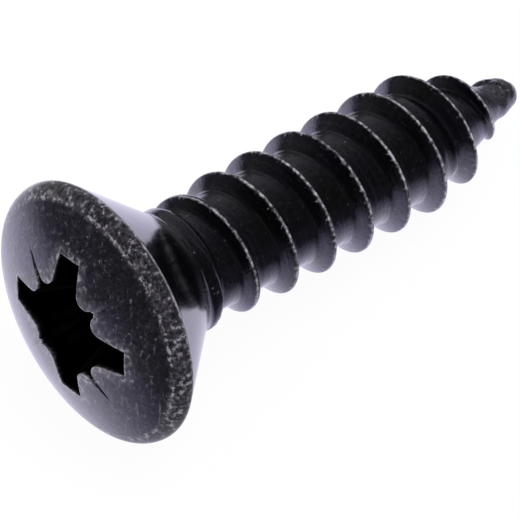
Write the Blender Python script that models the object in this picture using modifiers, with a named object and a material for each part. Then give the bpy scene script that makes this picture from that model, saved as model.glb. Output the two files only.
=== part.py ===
"""Sheet metal screw, No. 8 by 5/8 in, raised countersunk head with a type Z cross recess and a gimlet point.

Metres, +Z up. The screw is one solid. It is built upright about its own axis, with the plane of the
rim's sharp edge at zero, the head above it and the shank below, and is then laid on its side, where the
rim and the thread's crest touch the ground.
"""

import math

import bmesh
import bpy
from mathutils import Matrix, Vector

MM = 0.001

# Round forms
SIDES = 48
DOME_STEPS = 5
FILLET_STEPS = 5

# Head: a dome with a rounded shoulder, over a countersunk cone
RIM_RADIUS = 3.90 * MM
SHOULDER_INSET = 0.29 * MM
SHOULDER_HEIGHT = 0.47 * MM
SHOULDER_BULGE = 0.09 * MM
SHOULDER_STEPS = 4
DOME_RADIUS = 7.7 * MM
CONE_HALF_ANGLE = math.radians(40.6)
NECK_RADIUS = 1.84 * MM
NECK_FILLET = 1.2 * MM
NECK_BLEND = 0.22 * MM

# Shank, measured down from the rim's plane
LENGTH = 15.7 * MM
CORE_RADIUS = 1.56 * MM
POINT_LENGTH = 4.18 * MM
TIP_RADIUS = 0.31 * MM
TIP_ROUNDING = 0.15 * MM

# Thread: right-hand, 18 turns an inch, with a narrow crest between its flanks
PITCH = 1.411 * MM
CREST_RADIUS = 2.0 * MM
CREST_FLAT = 0.09 * MM
FLANK_ANGLE = math.radians(30)
ROOT_SINK = 0.2 * MM
THREAD_START = 2.38 * MM
RUN_OUT_LENGTH = 2.9 * MM
RUN_OUT_POWER = 0.4
RUN_OUT_FLAT = 0.3 * MM
CREST_TAPER_LENGTH = 3.83 * MM
CREST_TAPER_POWER = 1.22
CREST_END_RADIUS = 0.19 * MM
THREAD_END = 0.3 * MM
THREAD_PHASE = math.radians(-120)

# Recess at its mouth: four wings, and between two wings a tick with a rounded lobe on each side
WING_RADIUS = 2.25 * MM
WING_HALF_WIDTH = 0.405 * MM
NOSE_ALONG = 1.45 * MM
NOSE_ACROSS = 0.84 * MM
NOSE_RADIUS = 0.34 * MM
NOSE_STEPS = 5
TICK_RADIUS = 2.31 * MM
TICK_DEPTH = 0.25 * MM
RECESS_TURN = math.radians(10.2)
RECESS_SHIFT = 0.07 * MM

# Recess at its floor
RECESS_DEPTH = 2.6 * MM
FLOOR_WING_RADIUS = 1.05 * MM
FLOOR_WING_HALF_WIDTH = 0.30 * MM
FLOOR_NOSE_ALONG = 0.72 * MM
FLOOR_NOSE_ACROSS = 0.50 * MM
FLOOR_NOSE_RADIUS = 0.15 * MM
FLOOR_CONE_DEPTH = 0.35 * MM
CUTTER_MARGIN = 0.4 * MM

# Finish
BLACKENED_STEEL = (0.012, 0.011, 0.018, 1.0)
STEEL_ROUGHNESS = 0.35
SHARP_ANGLE = math.radians(30)

STEP = 2 * math.pi / SIDES
DOME_EDGE_RADIUS = RIM_RADIUS - SHOULDER_INSET
DOME_CENTRE = SHOULDER_HEIGHT - math.sqrt(DOME_RADIUS ** 2 - DOME_EDGE_RADIUS ** 2)
CONE_DEPTH = (RIM_RADIUS - NECK_RADIUS) / math.tan(CONE_HALF_ANGLE)


def remove_all():
    for obj in list(bpy.data.objects):
        bpy.data.objects.remove(obj, do_unlink=True)


def make_collection(name):
    collection = bpy.data.collections.new(name)
    bpy.context.scene.collection.children.link(collection)
    return collection


def link_mesh(name, bm, collection):
    mesh = bpy.data.meshes.new(name)
    bm.to_mesh(mesh)
    bm.free()
    obj = bpy.data.objects.new(name, mesh)
    collection.objects.link(obj)
    return obj


def dome_height(radius):
    return DOME_CENTRE + math.sqrt(DOME_RADIUS ** 2 - radius ** 2)


def core_radius(depth):
    """Radius of the turned core at a depth below the rim's plane, along the shank and the point."""
    taper = max(0.0, (depth - LENGTH + POINT_LENGTH) / POINT_LENGTH)
    return CORE_RADIUS + (TIP_RADIUS - CORE_RADIUS) * taper


def head_profile():
    """Radius and height down the head's outer side, from the dome's top to the end of the neck."""
    points = []
    for i in range(DOME_STEPS + 1):
        radius = DOME_EDGE_RADIUS * i / DOME_STEPS
        points.append((radius, dome_height(radius)))
    slope = Vector((SHOULDER_INSET, -SHOULDER_HEIGHT))
    outward = Vector((SHOULDER_HEIGHT, SHOULDER_INSET)).normalized()
    for i in range(1, SHOULDER_STEPS + 1):
        share = i / SHOULDER_STEPS
        bulge = outward * SHOULDER_BULGE * 4 * share * (1 - share)
        points.append(tuple(Vector((DOME_EDGE_RADIUS, SHOULDER_HEIGHT)) + slope * share + bulge))
    tangent = NECK_FILLET * math.tan(CONE_HALF_ANGLE / 2)
    centre = (NECK_RADIUS + NECK_FILLET, -CONE_DEPTH - tangent)
    for i in range(FILLET_STEPS + 1):
        angle = CONE_HALF_ANGLE * (1 - i / FILLET_STEPS)
        points.append((centre[0] - NECK_FILLET * math.cos(angle), centre[1] + NECK_FILLET * math.sin(angle)))
    return points


def blank_profile():
    """The head, then the core down to the rounded tip."""
    points = head_profile()
    points.append((CORE_RADIUS, points[-1][1] - NECK_BLEND))
    points.append((CORE_RADIUS, POINT_LENGTH - LENGTH))
    points.append((core_radius(LENGTH - TIP_ROUNDING), TIP_ROUNDING - LENGTH))
    points.append((TIP_RADIUS / 2, -LENGTH + TIP_ROUNDING / 4))
    points.append((0.0, -LENGTH))
    return points


def add_blank(name, collection):
    """The screw before its thread is rolled: one turned profile."""
    bm = bmesh.new()
    across = Matrix.Rotation(STEP / 2, 3, "Z")
    verts = [bm.verts.new(across @ Vector((radius, 0.0, height))) for radius, height in blank_profile()]
    for upper, lower in zip(verts, verts[1:]):
        bm.edges.new((upper, lower))
    blank = link_mesh(name, bm, collection)
    turning = blank.modifiers.new("Turning", "SCREW")
    turning.axis = "Z"
    turning.angle = 2 * math.pi
    turning.steps = SIDES
    turning.render_steps = SIDES
    turning.use_merge_vertices = True
    turning.merge_threshold = 0.0000001
    return blank


def run_out(depth):
    """How far the thread has grown out of the core under the neck, from 0 to 1."""
    return min(1.0, max(0.0, depth - THREAD_START) / RUN_OUT_LENGTH) ** RUN_OUT_POWER


def crest_radius(depth):
    """The thread's crest: it grows out of the core under the neck, and draws in along the point."""
    taper = max(0.0, (depth - LENGTH + CREST_TAPER_LENGTH) / CREST_TAPER_LENGTH)
    full = CREST_RADIUS + (CREST_END_RADIUS - CREST_RADIUS) * taper ** CREST_TAPER_POWER
    core = core_radius(depth)
    return core + (full - core) * run_out(depth)


def thread_section(depth):
    """Radius and offset along the axis of the ridge's four corners. Its crest is broad where it starts."""
    root = max(core_radius(depth) - ROOT_SINK, TIP_RADIUS / 4)
    crest = max(crest_radius(depth), root + CREST_FLAT)
    upper = CREST_FLAT / 2
    lower = -upper - RUN_OUT_FLAT * (1 - run_out(depth))
    spread = (crest - root) * math.tan(FLANK_ANGLE)
    return [(root, upper + spread), (crest, upper), (crest, lower), (root, lower - spread)]


def add_thread(name, collection):
    """A helical ridge, lofted through one section a step."""
    bm = bmesh.new()
    lead = PITCH / (2 * math.pi)
    first = math.ceil((THREAD_START / lead - THREAD_PHASE) / STEP)
    last = math.floor(((LENGTH - THREAD_END) / lead - THREAD_PHASE) / STEP)
    rings = []
    for i in range(first, last + 1):
        depth = lead * (i * STEP + THREAD_PHASE)
        turn = Matrix.Rotation(-i * STEP, 3, "Z")
        section = thread_section(depth)
        rings.append([bm.verts.new(turn @ Vector((radius, 0.0, shift - depth))) for radius, shift in section])
    for upper, lower in zip(rings, rings[1:]):
        for i in range(len(upper)):
            bm.faces.new((upper[i - 1], upper[i], lower[i], lower[i - 1]))
    bm.faces.new(rings[0])
    bm.faces.new(rings[-1])
    bmesh.ops.recalc_face_normals(bm, faces=bm.faces)
    return link_mesh(name, bm, collection)


def tangent_angle(centre, radius, point, side):
    """The angle on a circle where the line from an outside point touches it."""
    away = Vector(point) - Vector(centre)
    return math.atan2(away.y, away.x) + side * math.acos(radius / away.length)


def recess_outline(wing, half_width, along, across, nose, tick):
    """One quarter of the recess, from a wing's corner round the two lobes to the next wing's corner."""
    corner = (wing, half_width)
    tip = (tick / math.sqrt(2), tick / math.sqrt(2))
    centre = (along, across)
    start = tangent_angle(centre, nose, corner, -1)
    end = tangent_angle(centre, nose, tip, 1) - 2 * math.pi
    arc = []
    for i in range(NOSE_STEPS + 1):
        angle = start + (end - start) * i / NOSE_STEPS
        arc.append((along + nose * math.cos(angle), across + nose * math.sin(angle)))
    half = [corner] + arc
    return half + [tip] + [(y, x) for x, y in reversed(half)]


def recess_ring(bm, height, outline):
    """The four quarters at one height, a little off the head's middle, as they were punched."""
    ring = []
    shift = Vector((RECESS_SHIFT, 0.0, 0.0))
    for i in range(4):
        turn = Matrix.Rotation(RECESS_TURN + i * math.pi / 2, 3, "Z")
        ring += [bm.verts.new(turn @ Vector((x, y, height)) + shift) for x, y in outline]
    return ring


def add_recess_cutter(name, collection):
    """A plug of the recess's shape, lofted from above the dome down to the recess's floor."""
    bm = bmesh.new()
    mouth = (WING_RADIUS, WING_HALF_WIDTH, NOSE_ALONG, NOSE_ACROSS, NOSE_RADIUS)
    floor = (FLOOR_WING_RADIUS, FLOOR_WING_HALF_WIDTH, FLOOR_NOSE_ALONG, FLOOR_NOSE_ACROSS, FLOOR_NOSE_RADIUS)
    tick_base = math.hypot(NOSE_ALONG, NOSE_ACROSS) - NOSE_RADIUS
    rise = dome_height(TICK_RADIUS)
    low = rise - TICK_DEPTH
    top = dome_height(0.0) + CUTTER_MARGIN
    tick_top = tick_base + (TICK_RADIUS - tick_base) * (top - low) / TICK_DEPTH
    bottom = dome_height(0.0) - RECESS_DEPTH
    rings = [
        recess_ring(bm, top, recess_outline(*mouth, tick_top)),
        recess_ring(bm, low, recess_outline(*mouth, tick_base)),
        recess_ring(bm, bottom, recess_outline(*floor, FLOOR_WING_RADIUS)),
    ]
    for upper, lower in zip(rings, rings[1:]):
        for i in range(len(upper)):
            bm.faces.new((upper[i - 1], upper[i], lower[i], lower[i - 1]))
    bm.faces.new(rings[0])
    point = bm.verts.new((RECESS_SHIFT, 0.0, bottom - FLOOR_CONE_DEPTH))
    for i in range(len(rings[-1])):
        bm.faces.new((rings[-1][i - 1], rings[-1][i], point))
    bmesh.ops.recalc_face_normals(bm, faces=bm.faces)
    return link_mesh(name, bm, collection)


def apply_boolean(obj, tool, operation):
    tool.hide_render = True
    tool.display_type = "WIRE"
    boolean = obj.modifiers.new(tool.name, "BOOLEAN")
    boolean.operation = operation
    boolean.object = tool
    boolean.solver = "EXACT"


def steel_material():
    material = bpy.data.materials.new("blackened_steel")
    material.use_nodes = True
    shader = material.node_tree.nodes["Principled BSDF"]
    shader.inputs["Base Color"].default_value = BLACKENED_STEEL
    shader.inputs["Metallic"].default_value = 1.0
    shader.inputs["Roughness"].default_value = STEEL_ROUGHNESS
    return material


def settle_shape(obj, material):
    """Keeps the rolled and punched shape as one mesh, smooth between its sharp edges."""
    depsgraph = bpy.context.evaluated_depsgraph_get()
    mesh = bpy.data.meshes.new_from_object(obj.evaluated_get(depsgraph))
    profile = obj.data
    obj.modifiers.clear()
    obj.data = mesh
    bpy.data.meshes.remove(profile)
    mesh.shade_smooth()
    mesh.set_sharp_from_angle(angle=SHARP_ANGLE)
    mesh.materials.clear()
    mesh.materials.append(material)


def lay_down(obj, tools):
    """Turns the screw on its side, until its rim and a crest touch the ground, and centres it there."""
    points = [vert.co.copy() for vert in obj.data.vertices]
    rim = RIM_RADIUS * math.cos(STEP / 2)
    shank = [point for point in points if point.z < -CONE_DEPTH]
    tilt = min(math.atan2(point.x + rim, -point.z) for point in shank)
    turn = Matrix.Rotation(tilt - math.pi / 2, 4, "Y")
    laid = [turn @ point for point in points]
    low = Vector([min(point[axis] for point in laid) for axis in range(3)])
    high = Vector([max(point[axis] for point in laid) for axis in range(3)])
    shift = Vector((-(low.x + high.x) / 2, -(low.y + high.y) / 2, -low.z))
    for piece in [obj] + tools:
        piece.matrix_world = Matrix.Translation(shift) @ turn


def main():
    remove_all()
    screw_parts = make_collection("Sheet_metal_screw")
    cutters = make_collection("Cutters")
    screw = add_blank("screw", screw_parts)
    thread = add_thread("thread_ridge", cutters)
    recess = add_recess_cutter("recess_plug", cutters)
    apply_boolean(screw, thread, "UNION")
    apply_boolean(screw, recess, "DIFFERENCE")
    settle_shape(screw, steel_material())
    lay_down(screw, [thread, recess])


main()
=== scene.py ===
import math

import bmesh
import bpy
from mathutils import Matrix, Vector, kdtree, noise


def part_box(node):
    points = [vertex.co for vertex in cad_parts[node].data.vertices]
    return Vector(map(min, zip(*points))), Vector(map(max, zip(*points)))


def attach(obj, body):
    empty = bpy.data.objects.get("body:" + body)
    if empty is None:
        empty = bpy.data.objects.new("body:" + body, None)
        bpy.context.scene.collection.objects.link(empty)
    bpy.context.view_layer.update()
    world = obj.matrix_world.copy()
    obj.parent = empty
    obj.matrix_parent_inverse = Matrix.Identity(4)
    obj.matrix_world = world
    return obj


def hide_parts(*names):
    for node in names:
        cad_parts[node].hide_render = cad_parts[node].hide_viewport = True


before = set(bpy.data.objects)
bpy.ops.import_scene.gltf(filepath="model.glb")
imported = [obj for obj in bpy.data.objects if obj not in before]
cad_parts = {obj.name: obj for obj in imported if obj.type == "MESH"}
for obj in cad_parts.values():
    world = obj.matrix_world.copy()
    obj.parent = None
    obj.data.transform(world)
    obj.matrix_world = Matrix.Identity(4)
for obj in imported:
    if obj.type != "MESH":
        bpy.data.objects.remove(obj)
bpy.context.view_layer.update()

bl_info = {
    "name": "Sheet metal screw",
    "version": (1, 0, 0),
    "blender": (4, 5, 0),
    "location": "3D View > Sidebar > Screw",
    "description": "A raised countersunk screw in black oxide, with its floor, light and camera",
    "category": "Add Mesh",
}

MM = 0.001
PER_MM = 1000.0


def millimetres(*sizes):
    return tuple(size * MM for size in sizes)


# Steps of the recess's outline: a wing's end, its side, a lobe, and half the way between two lobes
WING_END_STEPS = 6
WING_SIDE_STEPS = 6
NOSE_STEPS = 9
TICK_STEPS = 7
QUARTER_STEPS = WING_END_STEPS + 2 * (WING_SIDE_STEPS + NOSE_STEPS + TICK_STEPS)
# A turn of the thread and each ring of the head have as many columns as the outline has points
TURN_STEPS = 4 * QUARTER_STEPS
COLUMN = 2 * math.pi / TURN_STEPS
MERGE = 1e-7

# Head. Two rings break the rim's sharp edge, and they are given outwards and up from it
SHOULDER_INSET = 0.29 * MM
SHOULDER_HEIGHT = 0.47 * MM
SHOULDER_BULGE = 0.09 * MM
RIM_BREAK_BELOW = millimetres(-0.012, -0.02)
RIM_BREAK_ABOVE = millimetres(-0.004, 0.012)
NECK_FILLET = 0.25 * MM
NECK_END = 2.85 * MM
NECK_BLEND = 0.22 * MM

# Where the sweep of the shank stops, and the rings from there up the head and down the recess
SWEEP_TOP = 1.9 * MM
CONE_DEPTHS = millimetres(1.6, 1.3, 1.0, 0.72, 0.46, 0.26, 0.12, 0.05)
SHOULDER_RINGS = 10
APRON_RINGS = 8
DOME_RINGS = 16
DOME_CROWDING = 1.6
MOUTH_RINGS = 5
WALL_RINGS = 8
FLOOR_RINGS = 3
# Stations say what a vertex belongs to, and rise along each part. The shank is at 0
CONE_STATION = 1.0
RIM_STATION = 1.99
SHOULDER_STATION = 2.0
DOME_STATION = 3.0
NEAR_MOUTH_STATION = 3.4
INNER_DOME_STATION = 3.5
MOUTH_STATION = 4.0
WALL_STATION = 4.2
FLOOR_STATION = 5.0
FLOOR_END_STATION = 6.0

# Thread: how it runs out of the neck and draws in along the point. Spans count down from the rim's edge
FLANK_TANGENT = math.tan(math.radians(30))
CREST_FLAT = 0.09 * MM
THREAD_START = 2.38 * MM
RUN_OUT_LENGTH = 2.9 * MM
RUN_OUT_POWER = 0.4
RUN_OUT_FLAT = 0.3 * MM
RUN_OUT_FLAT_SPAN = millimetres(2.2, 2.5)
LOW_RIDGE = 0.035 * MM
LOW_RIDGE_SPAN = millimetres(2.3, 2.5, 3.0, 3.4)
CREST_TAPER_LENGTH = 3.83 * MM
CREST_TAPER_POWER = 1.22
CREST_END_RADIUS = 0.19 * MM
THREAD_PHASE = math.radians(-120)
RIDGE_BLEND = 0.05 * MM

# Point. Spans count back from its end
TIP_ROUNDING = 0.32 * MM
TIP_WAIST = 0.07 * MM
TIP_WAIST_SPAN = millimetres(0.75, 1.1, 1.35, 1.75)
TIP_SPREAD = 0.3 * MM
TIP_SPREAD_SPAN = millimetres(1.5, 0.9)
TIP_THREAD_WEAR = 0.45
TIP_THREAD_WEAR_SPAN = millimetres(1.0, 1.4, 1.8, 2.2)
TIP_THREAD_END = millimetres(0.03, 0.3)
TIP_ROUGHNESS = 0.02 * MM
TIP_ROUGHNESS_SPAN = millimetres(1.6, 1.0)
TIP_ROUGH_SCALE = 3.5 * PER_MM

# The rolled ridge: share of the flank's width and of the ridge's height, from its crest to its foot
FLANK_ROWS = (
    (0.0, 0.97), (0.06, 0.92), (0.3, 0.69), (0.55, 0.44),
    (0.8, 0.2), (0.95, 0.085), (1.08, 0.025), (1.24, 0.0))
CREST_ROWS = (0.25, 0.5, 0.75)
ROOT_ROWS = (0.22, 0.48, 0.74, 1.0)

# Recess at its mouth and at its floor: wing radius, half width, the lobes' centre and radius, the tick's tip
MOUTH = millimetres(2.25, 0.405, 1.45, 0.84, 0.34, 2.31)
FLOOR = millimetres(1.05, 0.30, 0.72, 0.50, 0.15, 1.05)
TICK_TIP = MOUTH[5]
TICK_DEPTHS = millimetres(0.2, 0.08, 0.2, 0.07)
TICK_SOFTNESS = 0.02 * MM
APRON_RADIUS = 2.6 * MM
WALL_BREAK = 0.35 * MM
FLOOR_CONE_DEPTH = 0.35 * MM
RECESS_TURN = math.radians(10.2)
RECESS_CENTRE = Vector((0.07 * MM, 0.0))
QUARTER = math.pi / 2
# Where the outline and every ring begin: at a corner of the first wing
FIRST_ANGLE = RECESS_TURN + QUARTER / 2 - (QUARTER_STEPS - WING_END_STEPS) / 2 * COLUMN

# Wear: how strong it is in each place, and over which distances it fades in
RIDGE_WEAR = 0.95
RIDGE_INSET = 0.01 * MM
RIDGE_WEAR_SPAN = millimetres(0.11, 0.03)
SHOULDER_WEAR = 0.52
SHOULDER_WEAR_SPAN = millimetres(0.0, 0.1)
RIM_WEAR_SPAN = millimetres(-0.1, 0.02)
DOME_WEAR = 0.38
MOUTH_WEAR = 0.75
MOUTH_WEAR_SPAN = millimetres(0.4, 0.05)
MOUTH_SAMPLES = 4
TIP_WEAR_SPAN = millimetres(1.55, 1.2)
RIM_LINE = 0.07 * MM
MOUTH_LINE = 0.05 * MM
CREST_LINE = 0.15 * MM
CREST_LINE_RIDGE = 0.1 * MM
# Stations over which the recess's inside turns to its painted shade, near black
RECESS_SHADE_STATIONS = (4.01, 4.05)
CONE_MATTE = 0.38

# Lines that rolling left, 0.075 mm apart and 2 mm long. Across a pitch, their noise runs round a circle
ROLLED_RADIUS = 3.0
ROLLED_LENGTH = 2.0 * MM
ROLLED_SPAN = millimetres(2.2, 3.2)

# Finish: the film of oil that a black oxide bath leaves, the depth of its pits, and the near black of the
# recess's painted shade
OIL_WEIGHT = 1.0
OIL_ROUGHNESS = 0.09
PIT_DEPTH = 0.012 * MM
RECESS_PAINTED_SHADE = 0x060506
# Its patterns, in features per millimetre: specks 0.14 mm and grit 0.05 mm wide, wear in patches of 0.6 mm,
# tones of 1.1 mm, clouds of 0.4 mm, and scuffs 0.09 mm wide and 0.8 mm long
SPECKS_PER_MM = 7.0
GRIT_PER_MM = 22.0
PATCHES_PER_MM = 1.7
TONES_PER_MM = 0.9
CLOUDS_PER_MM = 2.6
SCUFFS_PER_MM = (11.0, 11.0, 1.3)

# Stage: how the painted pool of light that the sheet shows to the steel fades outwards and towards one side,
# and how much shadow it keeps
FLOOR_REACH = 2.0
SHEET_CENTRE = millimetres(-3.0, 3.0, 0.0)
SHEET_RADII = millimetres(7.0, 28.0)
SHEET_SIDE = (-0.17, -0.985, 0.0)
SHEET_EDGE = millimetres(0.0, 7.0)
SHEET_END_LEVEL = 0.06
SHEET_TINT = 0xEBE7FF
SHADOW_SHARE = 0.05
ROOM_LEVEL = 0.03
DIFFUSE_LEVEL = 1.0
# Azimuth, elevation, level and sharpness of the room's pale walls
PALE_WALLS = (
    (math.radians(38), math.radians(8), 0.2, 4.0),
    (math.radians(115), math.radians(-5), 0.09, 6.0))
SOFTBOX_WAY = (0.198, -0.166, 0.966)
SOFTBOX_SIZE = 0.1
SOFTBOX_DISTANCE = 0.2

# Camera: about 130 mm off, on the head's side, looking down at 51.5 degrees
CAMERA_LENS = 327.64
CAMERA_SENSOR = 36.0
CAMERA_CLIP = 0.005
CAMERA_PLACE = Vector((-55.397, -62.719, 105.525)) * MM
CAMERA_RIGHT = Vector((0.75686, -0.65358, 0.0))
CAMERA_BACK = Vector((-0.40685, -0.47116, 0.78262))


def linear(code):
    """An sRGB hex value as a linear colour."""
    channels = [(code >> shift & 255) / 255 for shift in (16, 8, 0)]
    return tuple(c / 12.92 if c <= 0.04045 else ((c + 0.055) / 1.055) ** 2.4 for c in channels) + (1.0,)


def length(label, text, size):
    """A property for a length, with its size in millimetres."""
    return bpy.props.FloatProperty(
        name=label, description=text, default=size * MM, unit="LENGTH", precision=5)


class ScrewSizes(bpy.types.PropertyGroup):
    """Sizes of the screw that a maker would change."""

    rim_radius: length("Rim radius", "From the axis to the sharp edge between cone and dome", 3.90)
    dome_radius: length("Dome radius", "Radius of the sphere that the dome is cut from", 7.7)
    neck_radius: length("Neck radius", "Radius of the neck under the cone", 1.84)
    core_radius: length("Core radius", "Radius at the thread's root", 1.56)
    crest_radius: length("Crest radius", "Radius at the thread's crest", 2.0)
    pitch: length("Pitch", "From one turn of the thread to the next", 1.411)
    shank_length: length("Length", "From the rim's edge to the point", 15.7)
    point_length: length("Point length", "The tapered end of the core", 4.18)
    tip_radius: length("Tip radius", "Radius of the core at its very end", 0.31)
    recess_depth: length("Recess depth", "From the dome's top to the end of the recess's walls", 2.6)
    edge_rounding: length("Edge rounding", "Worn round of the recess's mouth", 0.04)
    cone_angle: bpy.props.FloatProperty(
        name="Countersink half angle", description="Between the axis and the cone",
        default=math.radians(40.6), subtype="ANGLE")
    rest_tilt: bpy.props.FloatProperty(
        name="Resting tilt", description="How far the axis dips as the screw lies",
        default=math.radians(9.287), subtype="ANGLE")


class ScrewFinish(bpy.types.PropertyGroup):
    """Colours of the finish."""

    oxide: bpy.props.FloatVectorProperty(
        name="Black oxide", description="The dark skin", size=4, min=0, max=1, subtype="COLOR",
        default=linear(0x4A4657))
    oxide_warm: bpy.props.FloatVectorProperty(
        name="Warm oxide", description="Patches of the skin with less blue", size=4, min=0, max=1,
        subtype="COLOR", default=linear(0x46454A))
    bare: bpy.props.FloatVectorProperty(
        name="Bare steel", description="Where the skin is worn through", size=4, min=0, max=1,
        subtype="COLOR", default=linear(0xB9B4BE))


class StageLook(bpy.types.PropertyGroup):
    """Floor and light."""

    floor: bpy.props.FloatVectorProperty(
        name="Floor", description="The pale sheet under the screw", size=4, min=0, max=1, subtype="COLOR",
        default=linear(0xE8E8EA))
    softbox_power: bpy.props.FloatProperty(
        name="Softbox", description="Power of the lamp above", default=0.2, unit="POWER")


def smooth(value, start, end):
    """0 before start, 1 after end, and an even ramp between them. It falls where start is above end."""
    share = min(1.0, max(0.0, (value - start) / (end - start)))
    return share * share * (3 - 2 * share)


def plateau(value, span):
    """0 outside the span's outer two values, 1 between its inner two, and even ramps between."""
    low_outer, low_inner, high_inner, high_outer = span
    return smooth(value, low_outer, low_inner) * smooth(value, high_outer, high_inner)


class Form:
    """The screw's radii by depth below the rim's edge, from its sizes."""

    def __init__(self, sizes):
        self.sizes = sizes
        self.dome_edge = sizes.rim_radius - SHOULDER_INSET
        self.dome_centre = SHOULDER_HEIGHT - math.sqrt(sizes.dome_radius ** 2 - self.dome_edge ** 2)
        self.cone_depth = (sizes.rim_radius - sizes.neck_radius) / math.tan(sizes.cone_angle)
        self.fillet_depth = self.cone_depth + NECK_FILLET * math.tan(sizes.cone_angle / 2)
        self.fillet_top = self.fillet_depth - NECK_FILLET * math.sin(sizes.cone_angle)

    def dome_height(self, radius):
        """Height of the dome's sphere above the rim's edge."""
        return self.dome_centre + math.sqrt(self.sizes.dome_radius ** 2 - radius ** 2)

    def dome_surface(self, point):
        """Height of the dome with its ticks."""
        return self.dome_height(point.length) - tick_depth(point)

    def before_point(self, depth):
        """How far it still is to the point's end."""
        return self.sizes.shank_length - depth

    def core(self, depth):
        """The core under the thread, which tapers towards the point."""
        sizes = self.sizes
        taper = max(0.0, (depth - sizes.shank_length + sizes.point_length) / sizes.point_length)
        return sizes.core_radius + (sizes.tip_radius - sizes.core_radius) * min(1.0, taper)

    def base(self, depth):
        """The blank before its thread: cone, neck, core and point, with a round tip."""
        sizes = self.sizes
        if depth < self.fillet_top:
            return sizes.rim_radius - depth * math.tan(sizes.cone_angle)
        if depth < self.fillet_depth:
            below = self.fillet_depth - depth
            return sizes.neck_radius + NECK_FILLET - math.sqrt(NECK_FILLET ** 2 - below ** 2)
        core = self.core(depth)
        if depth < NECK_END + NECK_BLEND:
            return core + (sizes.neck_radius - core) * smooth(depth, NECK_END + NECK_BLEND, NECK_END)
        core -= TIP_WAIST * plateau(self.before_point(depth), TIP_WAIST_SPAN)
        rounding = max(0.0, (TIP_ROUNDING - self.before_point(depth)) / TIP_ROUNDING)
        return core * math.sqrt(max(0.0, 1 - rounding ** 2))

    def run_out(self, depth):
        """Share of its height that the thread has reached on its way out of the neck."""
        return min(1.0, max(0.0, depth - THREAD_START) / RUN_OUT_LENGTH) ** RUN_OUT_POWER

    def crest(self, depth):
        """The crest's radius, from the run-out to the taper along the point."""
        sizes = self.sizes
        taper = max(0.0, (depth - sizes.shank_length + CREST_TAPER_LENGTH) / CREST_TAPER_LENGTH)
        full = sizes.crest_radius + (CREST_END_RADIUS - sizes.crest_radius) * taper ** CREST_TAPER_POWER
        core = self.core(depth)
        return core + (full - core) * self.run_out(depth)

    def ridge(self, depth):
        """How far the thread stands out of the blank. It begins low, and is worn near the point."""
        before_point = self.before_point(depth)
        full = (self.crest(depth) - self.base(depth)) * smooth(before_point, *TIP_THREAD_END)
        worn = TIP_THREAD_WEAR * plateau(before_point, TIP_THREAD_WEAR_SPAN)
        return max(full * (1 - worn), LOW_RIDGE * plateau(depth, LOW_RIDGE_SPAN), 0.0)

    def flat(self, depth):
        """Offsets of the crest's two edges. The lower one lies further down at the thread's start and end."""
        half = CREST_FLAT / 2
        start = RUN_OUT_FLAT * (1 - self.run_out(depth)) * smooth(depth, *RUN_OUT_FLAT_SPAN)
        return half, -half - start - TIP_SPREAD * smooth(self.before_point(depth), *TIP_SPREAD_SPAN)


def section_rows():
    """Side, width share, height share and root share of each row of one pitch, from the head's side."""
    upper = [(1, FLANK_ROWS[-1][0], 0.0, share) for share in reversed(ROOT_ROWS)]
    upper += [(1, width, height, 0.0) for width, height in reversed(FLANK_ROWS)]
    lower = [(-side, width, height, share) for side, width, height, share in reversed(upper)]
    return upper + [(0, share, 1.0, 0.0) for share in CREST_ROWS] + lower


def row_offset(form, row, depth, ridge):
    """How far a row lies from its section's middle, along the axis and towards the head."""
    side, width, _, share = row
    upper, lower = form.flat(depth)
    if side == 0:
        return upper + (lower - upper) * width
    edge = upper if side > 0 else lower
    foot = edge + side * width * ridge * FLANK_TANGENT
    return foot + (side * form.sizes.pitch / 2 - foot) * share


def spin_rows(bm, sizes, offsets, index):
    """A chain of vertices, one for each row, spun into one turn and copied down the shank."""
    lead = sizes.pitch / (2 * math.pi)
    start_depth = lead * (THREAD_PHASE - FIRST_ANGLE) % sizes.pitch
    while start_depth > SWEEP_TOP - sizes.pitch / 2:
        start_depth -= sizes.pitch
    turn = Matrix.Rotation(FIRST_ANGLE, 3, "Z")
    chain = []
    for i, offset in enumerate(offsets):
        vert = bm.verts.new(turn @ Vector((sizes.core_radius, 0.0, offset - start_depth)))
        vert[index] = i
        chain.append(vert)
    edges = [bm.edges.new(pair) for pair in zip(chain, chain[1:])]
    bmesh.ops.spin(bm, geom=chain + edges, cent=(0, 0, 0), axis=(0, 0, 1),
                   dvec=(0, 0, -sizes.pitch / TURN_STEPS), angle=-2 * math.pi, steps=TURN_STEPS)
    one_turn = bm.verts[:] + bm.edges[:] + bm.faces[:]
    turns = math.ceil((sizes.shank_length - start_depth) / sizes.pitch + 0.5)
    for i in range(1, turns):
        copy = bmesh.ops.duplicate(bm, geom=one_turn)["geom"]
        bmesh.ops.translate(bm, verts=[item for item in copy if isinstance(item, bmesh.types.BMVert)],
                            vec=(0, 0, -i * sizes.pitch))


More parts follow.
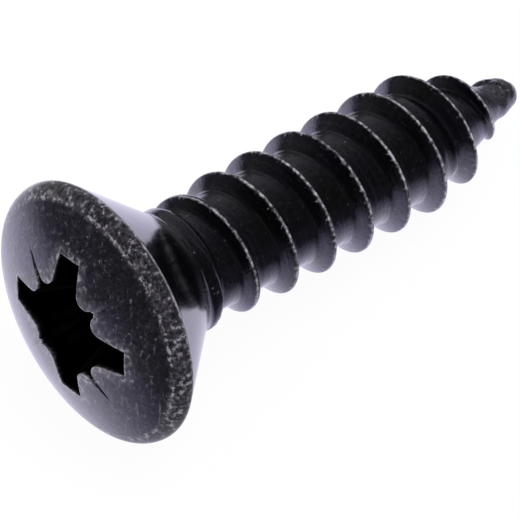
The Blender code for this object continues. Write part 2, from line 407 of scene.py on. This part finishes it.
def sweep_shank(bm, form, columns):
    """One pitch of rows, spun down the shank, then set to the blank and its thread."""
    sizes = form.sizes
    rows = section_rows()
    full = sizes.crest_radius - sizes.core_radius
    nominal = [row_offset(form, row, sizes.shank_length / 2, full) for row in rows]
    index = bm.verts.layers.int.new("row")
    spin_rows(bm, sizes, nominal, index)
    lay = bm.verts.layers.float_vector.new("lay")
    crest = bm.verts.layers.float.new("crest")
    for vert in bm.verts:
        row = rows[vert[index]]
        even = nominal[vert[index]]
        depth = even - vert.co.z
        angle = math.atan2(vert.co.y, vert.co.x)
        ridge = form.ridge(depth)
        offset = even + (row_offset(form, row, depth, ridge) - even) * smooth(ridge, 0.0, RIDGE_BLEND)
        low = max(SWEEP_TOP, min(sizes.shank_length, depth - offset))
        out = Vector((math.cos(angle), math.sin(angle), 0.0))
        radius = form.base(low) + ridge * row[2]
        rough = TIP_ROUGHNESS * smooth(form.before_point(low), *TIP_ROUGHNESS_SPAN)
        place = out * radius - Vector((0, 0, low))
        radius += rough * noise.fractal(place * TIP_ROUGH_SCALE, 1.0, 2.0, 3)
        if low >= sizes.shank_length:
            radius = 0.0
        vert.co = out * radius - Vector((0, 0, low))
        off_line = math.hypot(offset - form.flat(depth)[0] + CREST_FLAT / 3, (1 - row[2]) * ridge)
        vert[crest] = smooth(off_line, CREST_LINE, 0.0) * smooth(ridge, 0.0, CREST_LINE_RIDGE)
        across = 2 * math.pi * offset / sizes.pitch
        rolled = ROLLED_RADIUS * smooth(depth, *ROLLED_SPAN)
        vert[lay] = Vector((rolled * math.cos(across), rolled * math.sin(across), 0.0))
    bmesh.ops.remove_doubles(bm, verts=bm.verts, dist=MERGE)
    for vert in [vert for vert in bm.verts if vert.is_boundary]:
        vert[columns] = round((math.atan2(vert.co.y, vert.co.x) - FIRST_ANGLE) / COLUMN) % TURN_STEPS
    return [edge for edge in bm.edges if edge.is_boundary]


def lobe_arc(wing, half_width, along, across, nose, tick):
    """The lobe's round end, from where the wing's side touches it to where the tick's side does."""
    centre = Vector((along, across))
    tip = Vector((tick, tick)) / math.sqrt(2)
    bounds = []
    for point, side in ((Vector((wing, half_width)), -1), (tip, 1)):
        away = point - centre
        bounds.append(math.atan2(away.y, away.x) + side * math.acos(nose / away.length))
    start, end = bounds[0], bounds[1] - 2 * math.pi
    arc = []
    for i in range(NOSE_STEPS + 1):
        angle = start + (end - start) * i / NOSE_STEPS
        arc.append(centre + nose * Vector((math.cos(angle), math.sin(angle))))
    return arc


def full_outline(*shape):
    """The recess's outline, quarter by quarter: a wing's side, a lobe, the tick's inner end, a lobe, a wing.
    It lies a little off the head's middle, as it was punched."""
    wing, half_width = shape[:2]
    corner, far_corner, last_corner = [
        Vector(point) for point in ((wing, half_width), (half_width, wing), (-half_width, wing))]
    arc = lobe_arc(*shape)
    quarter = [corner.lerp(arc[0], i / WING_SIDE_STEPS) for i in range(WING_SIDE_STEPS)] + arc
    quarter += [arc[-1].lerp(arc[-1].yx, i / (2 * TICK_STEPS)) for i in range(1, 2 * TICK_STEPS)]
    quarter += [point.yx for point in reversed(quarter[:WING_SIDE_STEPS + NOSE_STEPS + 1])]
    quarter += [far_corner.lerp(last_corner, i / WING_END_STEPS) for i in range(1, WING_END_STEPS)]
    turns = [Matrix.Rotation(RECESS_TURN + i * QUARTER, 2) for i in range(4)]
    return [turn @ point + RECESS_CENTRE for turn in turns for point in quarter]


def tick_depth(point):
    """How deep the four ticks are sunk in the dome: grooves with steep sides, which run out at their tips."""
    base = lobe_arc(*MOUTH)[-1]
    base_along, base_across = (base.x + base.y) / math.sqrt(2), (base.x - base.y) / math.sqrt(2)
    point = point - RECESS_CENTRE
    quarter, turned = divmod(math.atan2(point.y, point.x) - RECESS_TURN, QUARTER)
    turned -= QUARTER / 2
    along, across = point.length * math.cos(turned), point.length * math.sin(turned)
    half_width = base_across * (TICK_TIP - along) / (TICK_TIP - base_along)
    sunk = (half_width - abs(across)) * TICK_DEPTHS[int(quarter) % 4] / base_across
    return (sunk + math.hypot(sunk, TICK_SOFTNESS)) / 2


def extrude_ring(bm, ring, place, station, value):
    """Draws a new ring out of an open one. place gives the new point of each column."""
    columns = bm.verts.layers.int["column"]
    made = bmesh.ops.extrude_edge_only(bm, edges=ring)["geom"]
    for vert in [item for item in made if isinstance(item, bmesh.types.BMVert)]:
        vert.co = place(vert[columns])
        vert[station] = value
    return [item for item in made if isinstance(item, bmesh.types.BMEdge) and item.is_boundary]


def between(outer, inner, share, height):
    """The place of a ring that lies this share of the way in from one outline to another."""

    def place(column):
        point = outer[column].lerp(inner[column], share)
        return Vector((point.x, point.y, height(point)))

    return place


def shape_head(bm, form, ring, outline, station):
    """Cone, rim, shoulder and dome, drawn up ring by ring, the last ring being the recess's outline."""
    sizes = form.sizes
    angles = [FIRST_ANGLE + i * COLUMN for i in range(TURN_STEPS)]
    around = [Vector((math.cos(angle), math.sin(angle))) for angle in angles]

    def circle(radius, height):
        return lambda column: (around[column] * radius).to_3d() + Vector((0, 0, height))

    for depth in CONE_DEPTHS:
        radius = sizes.rim_radius - depth * math.tan(sizes.cone_angle)
        value = CONE_STATION + (SWEEP_TOP - depth) / SWEEP_TOP
        ring = extrude_ring(bm, ring, circle(radius, -depth), station, value)
    out, up = RIM_BREAK_BELOW
    ring = extrude_ring(bm, ring, circle(sizes.rim_radius + out, up), station, RIM_STATION)
    slope = Vector((-SHOULDER_INSET, SHOULDER_HEIGHT))
    outward = Vector((SHOULDER_HEIGHT, SHOULDER_INSET)).normalized()
    for i in range(SHOULDER_RINGS + 1):
        share = i / SHOULDER_RINGS
        bulge = outward * SHOULDER_BULGE * 4 * share * (1 - share)
        point = Vector((sizes.rim_radius, 0.0)) + slope * share + bulge
        if i == 0:
            point += Vector(RIM_BREAK_ABOVE)
        ring = extrude_ring(bm, ring, circle(point.x, point.y), station, SHOULDER_STATION + share)
    edge = [way * form.dome_edge for way in around]
    apron = [(point - RECESS_CENTRE).normalized() * APRON_RADIUS + RECESS_CENTRE for point in outline]
    for outer, inner, rings, crowding, first in (
            (edge, apron, APRON_RINGS, 1.0, DOME_STATION),
            (apron, outline, DOME_RINGS, DOME_CROWDING, INNER_DOME_STATION)):
        for i in range(1, rings + 1):
            share = 1 - (1 - i / rings) ** crowding
            place = between(outer, inner, share, form.dome_surface)
            ring = extrude_ring(bm, ring, place, station, first + share / 2)
    return ring


def sink_recess(bm, form, ring, outline, station):
    """The recess: straight down from its mouth, then drawn in to the floor's outline, and a shallow cone."""
    sizes = form.sizes
    low = form.dome_height(TICK_TIP) - WALL_BREAK
    bottom = form.dome_height(0.0) - sizes.recess_depth
    floor = full_outline(*FLOOR)
    middle = [RECESS_CENTRE] * TURN_STEPS
    # Each part's two outlines, its height at them, its rings, and its first and last station
    parts = (
        (outline, outline, form.dome_surface, low, MOUTH_RINGS, MOUTH_STATION, WALL_STATION),
        (outline, floor, lambda point: low, bottom, WALL_RINGS, WALL_STATION, FLOOR_STATION),
        (floor, middle, lambda point: bottom, bottom - FLOOR_CONE_DEPTH, FLOOR_RINGS, FLOOR_STATION,
         FLOOR_END_STATION))
    mouth_edges = ring
    for outer, inner, top, end, rings, first, last in parts:
        for i in range(1, rings + 1):
            share = i / rings
            place = between(outer, inner, share, lambda point: top(point) + (end - top(point)) * share)
            ring = extrude_ring(bm, ring, place, station, first + (last - first) * share)
    bmesh.ops.remove_doubles(bm, verts=bm.verts, dist=MERGE)
    live = [edge for edge in mouth_edges if edge.is_valid]
    bmesh.ops.bevel(bm, geom=live, offset=sizes.edge_rounding, offset_type="OFFSET",
                    profile_type="SUPERELLIPSE", segments=3, profile=0.5, affect="EDGES", clamp_overlap=True,
                    material=-1)


def mark_wear(bm, form, outline, station):
    """Says on each vertex how worn it is, and whether it lies in the recess, which gets painted shade, before
    the screw is laid down.
    """
    names = ("shoulder", "edge", "tip", "inside", "matte")
    shoulder, edge, tip, inside, matte = [bm.verts.layers.float.new(name) for name in names]
    lay = bm.verts.layers.float_vector["lay"]
    mouth = kdtree.KDTree(len(outline) * MOUTH_SAMPLES)
    for i, point in enumerate(outline):
        for k in range(MOUTH_SAMPLES):
            flat = outline[i - 1].lerp(point, k / MOUTH_SAMPLES)
            mouth.insert((flat.x, flat.y, form.dome_surface(flat)), i * MOUTH_SAMPLES + k)
    mouth.balance()
    for vert in bm.verts:
        radius = math.hypot(vert.co.x, vert.co.y)
        height, value = vert.co.z, vert[station]
        on_top = value >= SHOULDER_STATION
        to_rim = math.hypot(radius - form.sizes.rim_radius, height)
        to_mouth = mouth.find(vert.co)[2] if value > NEAR_MOUTH_STATION else math.inf
        past_dome = radius - form.dome_edge
        vert[edge] = max(smooth(to_rim, RIM_LINE, 0.0), smooth(to_mouth, MOUTH_LINE, 0.0))
        at_ridge = smooth(abs(past_dome + RIDGE_INSET), *RIDGE_WEAR_SPAN) * on_top
        beyond = smooth(past_dome, *SHOULDER_WEAR_SPAN) * smooth(height, *RIM_WEAR_SPAN)
        vert[shoulder] = max(RIDGE_WEAR * at_ridge, SHOULDER_WEAR * beyond)
        vert[shoulder] += DOME_WEAR * on_top + MOUTH_WEAR * smooth(to_mouth, *MOUTH_WEAR_SPAN)
        vert[tip] = smooth(form.before_point(-height), *TIP_WEAR_SPAN)
        # The recess's inside, which gets painted shade and no wear
        vert[inside] = smooth(value, *RECESS_SHADE_STATIONS)
        vert[matte] = 1.0 if on_top or value == 0 else CONE_MATTE
        vert[lay] += vert.co / ROLLED_LENGTH


def lay_down(bm, sizes):
    """Lays the upright screw on the floor, where the CAD part lies."""
    bmesh.ops.rotate(bm, verts=bm.verts, cent=(0, 0, 0),
                     matrix=Matrix.Rotation(sizes.rest_tilt - math.pi / 2, 3, "Y"))
    low = Vector([min(vert.co[axis] for vert in bm.verts) for axis in range(3)])
    high = Vector([max(vert.co[axis] for vert in bm.verts) for axis in range(3)])
    cad_low, cad_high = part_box("screw")
    shift = (cad_low + cad_high - low - high) / 2
    shift.z = cad_low.z - low.z
    bmesh.ops.translate(bm, verts=bm.verts, vec=shift)


def add_node(tree, kind, links=None, **settings):
    """Adds a node. links maps an input's name or number to a value, or to the output or node feeding it."""
    node = tree.nodes.new(kind)
    for name, value in settings.items():
        setattr(node, name, value)
    for key, value in (links or {}).items():
        if isinstance(value, bpy.types.Node):
            value = value.outputs[0]
        if isinstance(value, bpy.types.NodeSocket):
            tree.links.new(value, node.inputs[key])
        else:
            node.inputs[key].default_value = value
    return node


def new_material(name):
    material = bpy.data.materials.new(name)
    material.use_nodes = True
    material.node_tree.nodes.clear()
    return material


def bare_steel(tree, worn, place, coarse, grain, patches, streaks):
    """How much of the bare steel shows, from 0 to 1."""
    # Specks 0.05 to 0.15 mm across: dense on the shoulder, few elsewhere, none in the recess
    share = add_node(tree, "ShaderNodeMath", {0: patches, 1: 0.22, 2: 0.06}, operation="MULTIPLY_ADD")
    wear = grain
    for name, amount in (("shoulder", share), ("tip", 0.09), ("edge", 0.08), ("crest", 0.18)):
        wear = add_node(tree, "ShaderNodeMath", {0: worn[name], 1: amount, 2: wear},
                        operation="MULTIPLY_ADD")
    specks = add_node(tree, "ShaderNodeMapRange", {"Value": wear, "From Min": 0.63, "From Max": 0.82,
                                                   "To Max": 0.78}, interpolation_type="SMOOTHSTEP")
    # A thin line on the thread's crest, the rim and the recess's edges, here bright and there faint
    ragged = add_node(tree, "ShaderNodeMapRange", {"Value": coarse, "From Min": 0.38, "From Max": 0.62,
                                                   "To Min": 0.2, "To Max": 1.1})
    crest = add_node(tree, "ShaderNodeMapRange", {"Value": worn["crest"], "From Min": 0.66, "From Max": 0.98})
    crest = add_node(tree, "ShaderNodeMath", {0: crest, 1: ragged}, operation="MULTIPLY")
    edge = add_node(tree, "ShaderNodeMath", {0: ragged, 1: 0.5, 2: 0.4}, operation="MULTIPLY_ADD")
    edge = add_node(tree, "ShaderNodeMath", {0: worn["edge"], 1: edge}, operation="MULTIPLY")
    # Short scuffs on the dome, drawn out one way, and clouds where the skin is rubbed thin
    drawn = add_node(tree, "ShaderNodeMapping", {"Vector": place, "Rotation": (0.3, 0.9, 0.6),
                                                 "Scale": SCUFFS_PER_MM})
    scuffs = add_node(tree, "ShaderNodeTexNoise", {"Vector": drawn, "Scale": 1.0, "Detail": 3.0,
                                                   "Distortion": 0.8})
    scuffs = add_node(tree, "ShaderNodeMapRange", {"Value": scuffs, "From Min": 0.54, "From Max": 0.78,
                                                   "To Max": 0.5}, interpolation_type="SMOOTHSTEP")
    clouds = add_node(tree, "ShaderNodeTexNoise", {"Vector": place, "Scale": CLOUDS_PER_MM, "Detail": 5.0,
                                                   "Roughness": 0.7})
    clouds = add_node(tree, "ShaderNodeMapRange", {"Value": clouds, "From Min": 0.5, "From Max": 0.72,
                                                   "To Max": 0.24}, interpolation_type="SMOOTHSTEP")
    scuffs = add_node(tree, "ShaderNodeMath", {0: scuffs, 1: clouds}, operation="MAXIMUM")
    on_dome = add_node(tree, "ShaderNodeMath", {0: worn["shoulder"], 1: 4.0}, operation="MULTIPLY",
                       use_clamp=True)
    scuffs = add_node(tree, "ShaderNodeMath", {0: scuffs, 1: on_dome}, operation="MULTIPLY")
    # Where handling has rubbed the skin thin: evenly on dome and point, and in blots on the shoulder
    blots = add_node(tree, "ShaderNodeMix", {0: worn["beyond dome"], 2: grain, 3: ragged}, data_type="FLOAT")
    rubbed = add_node(tree, "ShaderNodeMath", {0: worn["shoulder"], 1: 0.3}, operation="MULTIPLY")
    rubbed = add_node(tree, "ShaderNodeMath", {0: worn["tip"], 1: 0.32, 2: rubbed}, operation="MULTIPLY_ADD")
    grey = add_node(tree, "ShaderNodeMath", {0: blots, 1: rubbed}, operation="MULTIPLY")
    # Rolling left fine lines along the thread's roots
    rolled = add_node(tree, "ShaderNodeMapRange", {"Value": streaks, "From Min": 0.5, "From Max": 0.75,
                                                   "To Max": 0.05}, interpolation_type="SMOOTHSTEP")
    bare = specks
    for layer in (crest, edge, grey, scuffs, rolled):
        bare = add_node(tree, "ShaderNodeMath", {0: bare, 1: layer}, operation="MAXIMUM")
    return add_node(tree, "ShaderNodeMath", {0: bare, 1: worn["outside"]}, operation="MULTIPLY",
                    use_clamp=True)


def skin_colour(tree, worn, place, grain, finish):
    """The skin's own tone, with patches of less blue and a fine mottle, and the painted shade that turns the
    recess black.
    """
    warm = add_node(tree, "ShaderNodeTexNoise", {"Vector": place, "Scale": TONES_PER_MM, "Detail": 2.0})
    warm = add_node(tree, "ShaderNodeMapRange", {"Value": warm, "From Min": 0.42, "From Max": 0.62})
    skin = add_node(tree, "ShaderNodeMix", {0: warm, 6: tuple(finish.oxide), 7: tuple(finish.oxide_warm)},
                    data_type="RGBA")
    mottle = add_node(tree, "ShaderNodeMapRange", {"Value": grain, "From Min": 0.35, "From Max": 0.65,
                                                   "To Min": 0.55, "To Max": 1.45})
    skin = add_node(tree, "ShaderNodeVectorMath", {0: skin.outputs[2], "Scale": mottle}, operation="SCALE")
    # Painted shade: the recess's inside is coloured near black
    skin = add_node(tree, "ShaderNodeMix", {0: worn["inside"], 6: skin, 7: linear(RECESS_PAINTED_SHADE)},
                    data_type="RGBA")
    return skin.outputs[2]


def black_oxide_material(finish):
    """Black oxide on cold-headed steel: a thin dark skin with a satin gloss that turns pale at a glance, worn
    through in specks on the head's shoulder, and in lines on its edges and the thread's crest."""
    material = new_material("black_oxide_steel")
    tree = material.node_tree
    names = ("shoulder", "edge", "crest", "tip", "inside", "matte")
    worn = {
        name: add_node(tree, "ShaderNodeAttribute", attribute_name=name).outputs["Fac"] for name in names}
    worn["outside"] = add_node(tree, "ShaderNodeMath", {0: 1.0, 1: worn["inside"]}, operation="SUBTRACT")
    worn["beyond dome"] = add_node(tree, "ShaderNodeMapRange", {"Value": worn["shoulder"], "From Min": 0.42,
                                                                "From Max": 0.85})
    lay = add_node(tree, "ShaderNodeAttribute", attribute_name="lay").outputs["Vector"]
    own = add_node(tree, "ShaderNodeTexCoord").outputs["Object"]
    place = add_node(tree, "ShaderNodeMapping", {"Vector": own, "Scale": (PER_MM,) * 3})
    coarse = add_node(tree, "ShaderNodeTexNoise", {"Vector": place, "Scale": SPECKS_PER_MM, "Detail": 3.0,
                                                   "Roughness": 0.6})
    fine = add_node(tree, "ShaderNodeTexNoise", {"Vector": place, "Scale": GRIT_PER_MM, "Detail": 2.0})
    grain = add_node(tree, "ShaderNodeMix", {0: 0.24, 2: coarse, 3: fine}, data_type="FLOAT")
    patches = add_node(tree, "ShaderNodeTexNoise", {"Vector": place, "Scale": PATCHES_PER_MM, "Detail": 2.0})
    streaks = add_node(tree, "ShaderNodeTexNoise", {"Vector": lay, "Scale": 1.0, "Detail": 3.0,
                                                    "Roughness": 0.6})

    # Worn steel is dull and pale from every side, where the skin shows only what it reflects
    bare = bare_steel(tree, worn, place, coarse, grain, patches, streaks)
    skin = skin_colour(tree, worn, place, grain, finish)
    colour = add_node(tree, "ShaderNodeMix", {0: bare, 6: skin, 7: tuple(finish.bare)}, data_type="RGBA")
    metal = add_node(tree, "ShaderNodeMath", {0: bare, 1: -0.7, 2: 1.0}, operation="MULTIPLY_ADD")
    # Roughness: 0.1 on the cone, 0.2 on the thread, 0.3 on the dome, 0.4 on the shoulder, more where bare
    gloss = add_node(tree, "ShaderNodeMath", {0: patches, 1: 0.12, 2: 0.13}, operation="MULTIPLY_ADD")
    gloss = add_node(tree, "ShaderNodeMath", {0: worn["matte"], 1: gloss, 2: 0.03}, operation="MULTIPLY_ADD")
    gloss = add_node(tree, "ShaderNodeMath", {0: worn["shoulder"], 1: 0.22, 2: gloss},
                     operation="MULTIPLY_ADD")
    rough = add_node(tree, "ShaderNodeMath", {0: bare, 1: 0.3, 2: gloss}, operation="MULTIPLY_ADD")
    pits = add_node(tree, "ShaderNodeMath", {0: streaks, 1: 1.4, 2: coarse}, operation="MULTIPLY_ADD")
    pits = add_node(tree, "ShaderNodeMath", {0: pits, 1: worn["matte"]}, operation="MULTIPLY")
    bump = add_node(tree, "ShaderNodeBump", {"Height": pits, "Strength": 0.5, "Distance": PIT_DEPTH})
    # Dust and fine scratches on the rubbed shoulder, which show as a pale haze at a low angle
    dust = add_node(tree, "ShaderNodeMath", {0: worn["beyond dome"], 1: worn["outside"]},
                    operation="MULTIPLY")
    dust = add_node(tree, "ShaderNodeMath", {0: dust, 1: 0.26}, operation="MULTIPLY")
    shader = add_node(tree, "ShaderNodeBsdfPrincipled", {
        "Base Color": colour.outputs[2], "Metallic": metal, "Roughness": rough, "Normal": bump,
        "Coat Weight": OIL_WEIGHT, "Coat Roughness": OIL_ROUGHNESS, "Coat Normal": bump,
        "Sheen Weight": dust, "Sheen Roughness": 0.4})
    add_node(tree, "ShaderNodeOutputMaterial", {"Surface": shader})
    return material


class OBJECT_OT_sheet_metal_screw(bpy.types.Operator):
    """Makes the screw: swept shank and thread, head, recess and finish."""

    bl_idname = "object.sheet_metal_screw"
    bl_label = "Sheet metal screw"

    def execute(self, context):
        form = Form(context.scene.screw_sizes)
        outline = full_outline(*MOUTH)
        bm = bmesh.new()
        columns = bm.verts.layers.int.new("column")
        station = bm.verts.layers.float.new("station")
        ring = sweep_shank(bm, form, columns)
        ring = shape_head(bm, form, ring, outline, station)
        sink_recess(bm, form, ring, outline, station)
        bmesh.ops.recalc_face_normals(bm, faces=bm.faces)
        mark_wear(bm, form, outline, station)
        lay_down(bm, form.sizes)
        mesh = bpy.data.meshes.new("screw_body")
        bm.to_mesh(mesh)
        bm.free()
        mesh.shade_smooth()
        mesh.materials.append(black_oxide_material(context.scene.screw_finish))
        screw = bpy.data.objects.new("screw_body", mesh)
        context.scene.collection.objects.link(screw)
        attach(screw, "root")
        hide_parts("screw")
        return {"FINISHED"}


def floor_material(look):
    """White paper sheet under the screw. It shows white and keeps the screw's shadow. To the steel it glows
    as a painted pool of light, bright behind the screw and dark away from there, so that the steel turns dark
    on the camera's side."""
    material = new_material("white_paper_sheet")
    tree = material.node_tree
    rays = add_node(tree, "ShaderNodeLightPath").outputs
    camera_ray = rays["Is Camera Ray"]
    shown = camera_ray
    for name in ("Is Glossy Ray", "Is Transmission Ray"):
        shown = add_node(tree, "ShaderNodeMath", {0: shown, 1: rays[name]}, operation="MAXIMUM")
    place = add_node(tree, "ShaderNodeTexCoord").outputs["Object"]
    away = add_node(tree, "ShaderNodeVectorMath", {0: place, 1: SHEET_CENTRE}, operation="DISTANCE")
    # Painted pool of light: the glow that the steel sees fades outwards from behind the screw
    pool = add_node(tree, "ShaderNodeMapRange", {
        "Value": away.outputs["Value"], "From Min": SHEET_RADII[0], "From Max": SHEET_RADII[1],
        "To Min": 1.0, "To Max": SHEET_END_LEVEL}, interpolation_type="SMOOTHSTEP")
    # and it fades again towards the camera's side, which darkens the steel there
    side = add_node(tree, "ShaderNodeVectorMath", {0: place, 1: SHEET_SIDE}, operation="DOT_PRODUCT")
    sheet = add_node(tree, "ShaderNodeMapRange", {
        "Value": side.outputs["Value"], "From Min": SHEET_EDGE[0], "From Max": SHEET_EDGE[1],
        "To Min": pool, "To Max": SHEET_END_LEVEL}, interpolation_type="SMOOTHSTEP")
    strength = add_node(tree, "ShaderNodeMath", {0: sheet, 1: camera_ray}, operation="MAXIMUM")
    tint = add_node(tree, "ShaderNodeMix", {0: camera_ray, 6: linear(SHEET_TINT), 7: (1, 1, 1, 1)},
                    data_type="RGBA")
    glow = add_node(tree, "ShaderNodeEmission", {"Color": tint.outputs[2], "Strength": strength})
    paper = add_node(tree, "ShaderNodeBsdfDiffuse", {"Color": tuple(look.floor)})
    keep = add_node(tree, "ShaderNodeMath", {0: camera_ray, 1: SHADOW_SHARE}, operation="MULTIPLY")
    share = add_node(tree, "ShaderNodeMath", {0: shown, 1: keep}, operation="SUBTRACT")
    surface = add_node(tree, "ShaderNodeMixShader", {0: share, 1: paper, 2: glow})
    add_node(tree, "ShaderNodeOutputMaterial", {"Surface": surface})
    return material


def studio_world():
    """White to the camera. In the gloss it is a dim room, with pale walls past the point and behind."""
    world = bpy.data.worlds.new("studio")
    world.use_nodes = True
    tree = world.node_tree
    tree.nodes.clear()
    rays = add_node(tree, "ShaderNodeLightPath").outputs
    way = add_node(tree, "ShaderNodeTexCoord").outputs["Generated"]
    total = ROOM_LEVEL
    for azimuth, elevation, level, sharpness in PALE_WALLS:
        toward = (math.cos(elevation) * math.cos(azimuth), math.cos(elevation) * math.sin(azimuth),
                  math.sin(elevation))
        facing = add_node(tree, "ShaderNodeVectorMath", {0: way, 1: toward}, operation="DOT_PRODUCT")
        front = add_node(tree, "ShaderNodeMath", {0: facing.outputs["Value"], 1: 0.0}, operation="MAXIMUM")
        lobe = add_node(tree, "ShaderNodeMath", {0: front, 1: sharpness}, operation="POWER")
        total = add_node(tree, "ShaderNodeMath", {0: lobe, 1: level, 2: total}, operation="MULTIPLY_ADD")
    room = add_node(tree, "ShaderNodeMix", {0: rays["Is Glossy Ray"], 2: DIFFUSE_LEVEL, 3: total},
                    data_type="FLOAT")
    strength = add_node(tree, "ShaderNodeMath", {0: room, 1: rays["Is Camera Ray"]}, operation="MAXIMUM")
    background = add_node(tree, "ShaderNodeBackground", {"Color": (1, 1, 1, 1), "Strength": strength})
    add_node(tree, "ShaderNodeOutputWorld", {"Surface": background})
    return world


def add_softbox(scene, power):
    """The lamp above, which lights the worn steel and casts the shadow, and isn't seen in the gloss."""
    lamp = bpy.data.lights.new("softbox", "AREA")
    lamp.size = SOFTBOX_SIZE
    lamp.energy = power
    softbox = bpy.data.objects.new("softbox", lamp)
    softbox.visible_glossy = False
    toward = Vector(SOFTBOX_WAY).normalized()
    facing = toward.to_track_quat("Z", "Y").to_matrix().to_4x4()
    softbox.matrix_world = Matrix.Translation(toward * SOFTBOX_DISTANCE) @ facing
    scene.collection.objects.link(softbox)


def add_camera(scene):
    camera = bpy.data.objects.new("camera", bpy.data.cameras.new("camera"))
    camera.data.lens = CAMERA_LENS
    camera.data.sensor_width = CAMERA_SENSOR
    camera.data.clip_start = CAMERA_CLIP
    up = CAMERA_BACK.cross(CAMERA_RIGHT)
    place = Matrix((CAMERA_RIGHT, up, CAMERA_BACK)).transposed().to_4x4()
    place.translation = CAMERA_PLACE
    camera.matrix_world = place
    scene.collection.objects.link(camera)
    scene.camera = camera


class OBJECT_OT_screw_stage(bpy.types.Operator):
    """Makes the floor, the light and the camera."""

    bl_idname = "object.screw_stage"
    bl_label = "Floor, light and camera"

    def execute(self, context):
        scene = context.scene
        look = scene.screw_stage
        bm = bmesh.new()
        bmesh.ops.create_grid(bm, x_segments=1, y_segments=1, size=FLOOR_REACH)
        mesh = bpy.data.meshes.new("floor")
        bm.to_mesh(mesh)
        bm.free()
        mesh.materials.append(floor_material(look))
        floor = bpy.data.objects.new("floor", mesh)
        scene.collection.objects.link(floor)
        scene.world = studio_world()
        add_softbox(scene, look.softbox_power)
        add_camera(scene)
        return {"FINISHED"}


class VIEW3D_PT_screw(bpy.types.Panel):
    """The sizes and colours, and a button for the screw and one for its stage."""

    bl_label = "Sheet metal screw"
    bl_space_type = "VIEW_3D"
    bl_region_type = "UI"
    bl_category = "Screw"

    def draw(self, context):
        for group in (context.scene.screw_sizes, context.scene.screw_finish, context.scene.screw_stage):
            for name in group.bl_rna.properties.keys():
                if name not in ("rna_type", "name"):
                    self.layout.prop(group, name)
        for operator in (OBJECT_OT_sheet_metal_screw, OBJECT_OT_screw_stage):
            self.layout.operator(operator.bl_idname)


CLASSES = (
    ScrewSizes, ScrewFinish, StageLook, OBJECT_OT_sheet_metal_screw, OBJECT_OT_screw_stage, VIEW3D_PT_screw)


def register():
    for item in CLASSES:
        bpy.utils.register_class(item)
    bpy.types.Scene.screw_sizes = bpy.props.PointerProperty(type=ScrewSizes)
    bpy.types.Scene.screw_finish = bpy.props.PointerProperty(type=ScrewFinish)
    bpy.types.Scene.screw_stage = bpy.props.PointerProperty(type=StageLook)


def unregister():
    del bpy.types.Scene.screw_stage
    del bpy.types.Scene.screw_finish
    del bpy.types.Scene.screw_sizes
    for item in reversed(CLASSES):
        bpy.utils.unregister_class(item)


def main():
    register()
    bpy.context.scene.view_settings.view_transform = "Standard"
    bpy.ops.object.sheet_metal_screw()
    bpy.ops.object.screw_stage()


if __name__ == "__main__":
    main()
